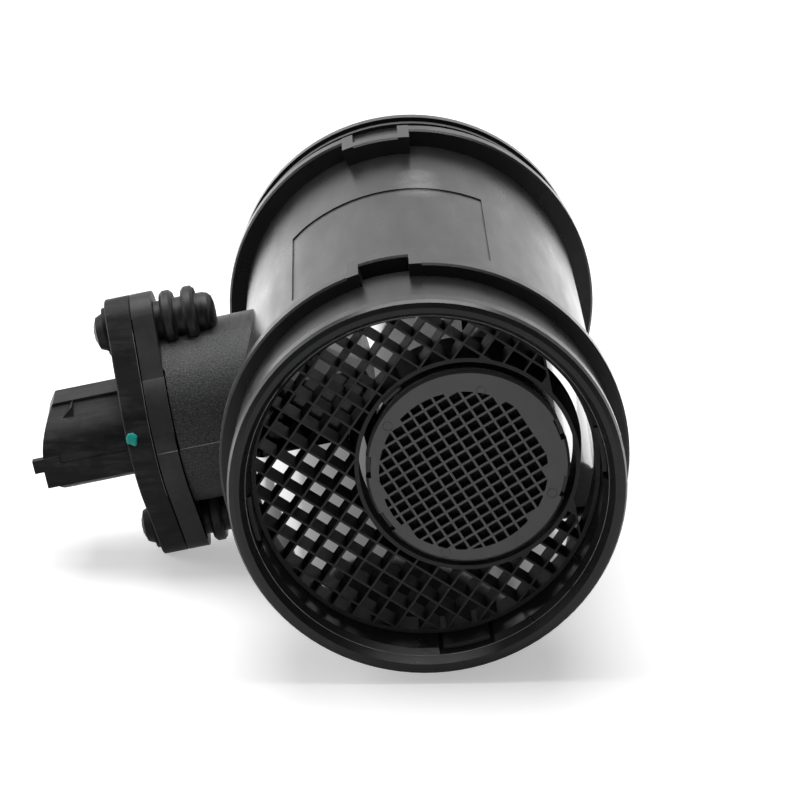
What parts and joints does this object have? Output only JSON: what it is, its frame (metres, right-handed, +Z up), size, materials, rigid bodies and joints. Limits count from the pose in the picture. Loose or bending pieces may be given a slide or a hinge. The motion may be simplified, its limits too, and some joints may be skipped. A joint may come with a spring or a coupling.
{
  "type": "mass airflow sensor",
  "caption": "Round air duct with a plug-in hot film mass airflow sensor, egg crate inlet grid, fine flow screen and side connector.",
  "frame": {"origin": "centre of the duct's inlet end, on the duct axis", "axes": "+Y along the duct with the air, -X towards the connector, +Z up as the part rests"},
  "size_m": [0.1377, 0.15, 0.092],
  "materials": {
    "housing_plastic": "satin, fine grain",
    "grid_plastic": "satin",
    "screen_plastic": "satin",
    "gauze_wire": "fine woven wire, dull",
    "sensor_plastic": "satin, slightly grained",
    "cover_plastic": "satin",
    "carrier_metal": "plain rolled",
    "ceramic_board": "off-white ceramic",
    "chip_resin": "matt",
    "holder_plastic": "matt",
    "silicon": "polished",
    "gel": "clear soft gel",
    "bead_glass": "glass coated",
    "lead_wire": "tinned wire",
    "seal_rubber": "soft",
    "screw_steel": "black coated, satin",
    "green_paint": "dried paint",
    "terminal_metal": "tin plated"
  },
  "bodies": {
    "root": {"housing": "housing_plastic", "inlet_grid": "grid_plastic", "flow_screen": "screen_plastic", "wire_gauze": "gauze_wire", "sensor_body": "sensor_plastic", "channel_cover": "cover_plastic", "electronics_cover": "cover_plastic", "carrier_plate": "carrier_metal", "circuit_board": "ceramic_board", "signal_chip": "chip_resin", "chip_holder": "holder_plastic", "sensing_element": "silicon", "protective_gel": "gel", "thermistor": "bead_glass", "thermistor_leads": "lead_wire", "seal_ring": "seal_rubber", "screws": "screw_steel", "paint_mark": "green_paint", "terminal_1": "terminal_metal", "terminal_2": "terminal_metal", "terminal_3": "terminal_metal", "terminal_4": "terminal_metal", "terminal_5": "terminal_metal"}
  },
  "joints": []
}
